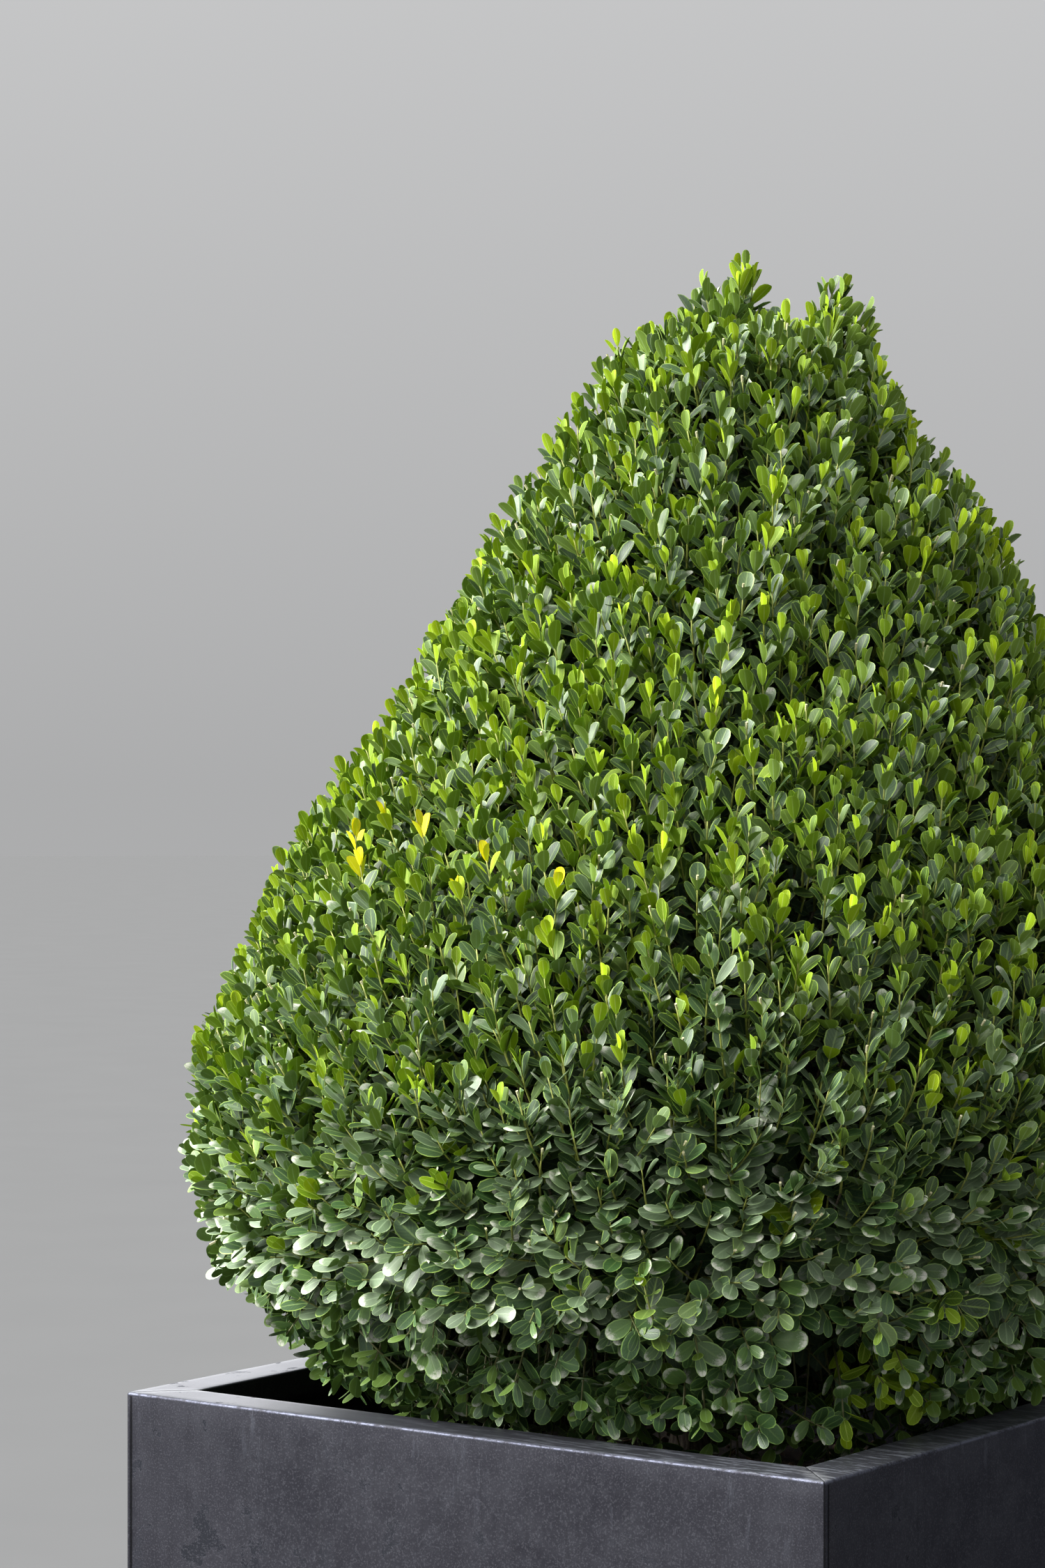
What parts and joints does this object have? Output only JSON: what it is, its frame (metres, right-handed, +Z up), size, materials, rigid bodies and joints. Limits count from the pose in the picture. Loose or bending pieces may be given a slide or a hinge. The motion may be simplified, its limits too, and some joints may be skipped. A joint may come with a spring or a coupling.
{
  "type": "clipped boxwood cone in a square metal planter",
  "caption": "Evergreen shrub clipped to a blunt cone with a rounded skirt, growing from soil in a square dark metal planter with a broad folded rim.",
  "frame": {"origin": "centre of the planter's flat underside", "axes": "+Z up along the plant; the planter's walls face +X, -X, +Y and -Y, and -Y is the wall that shows widest in the picture, with the near corner towards +X"},
  "size_m": [0.9261, 0.9209, 1.6869],
  "materials": {
    "planter_metal": "satin",
    "soil": "matte",
    "bark": "matte",
    "foliage": "satin"
  },
  "bodies": {
    "root": {"planter": "planter_metal", "soil": "soil", "trunk": "bark", "bough_1": "bark", "bough_2": "bark", "bough_3": "bark", "bough_4": "bark", "bough_5": "bark", "crown_foliage": "foliage"}
  },
  "joints": []
}
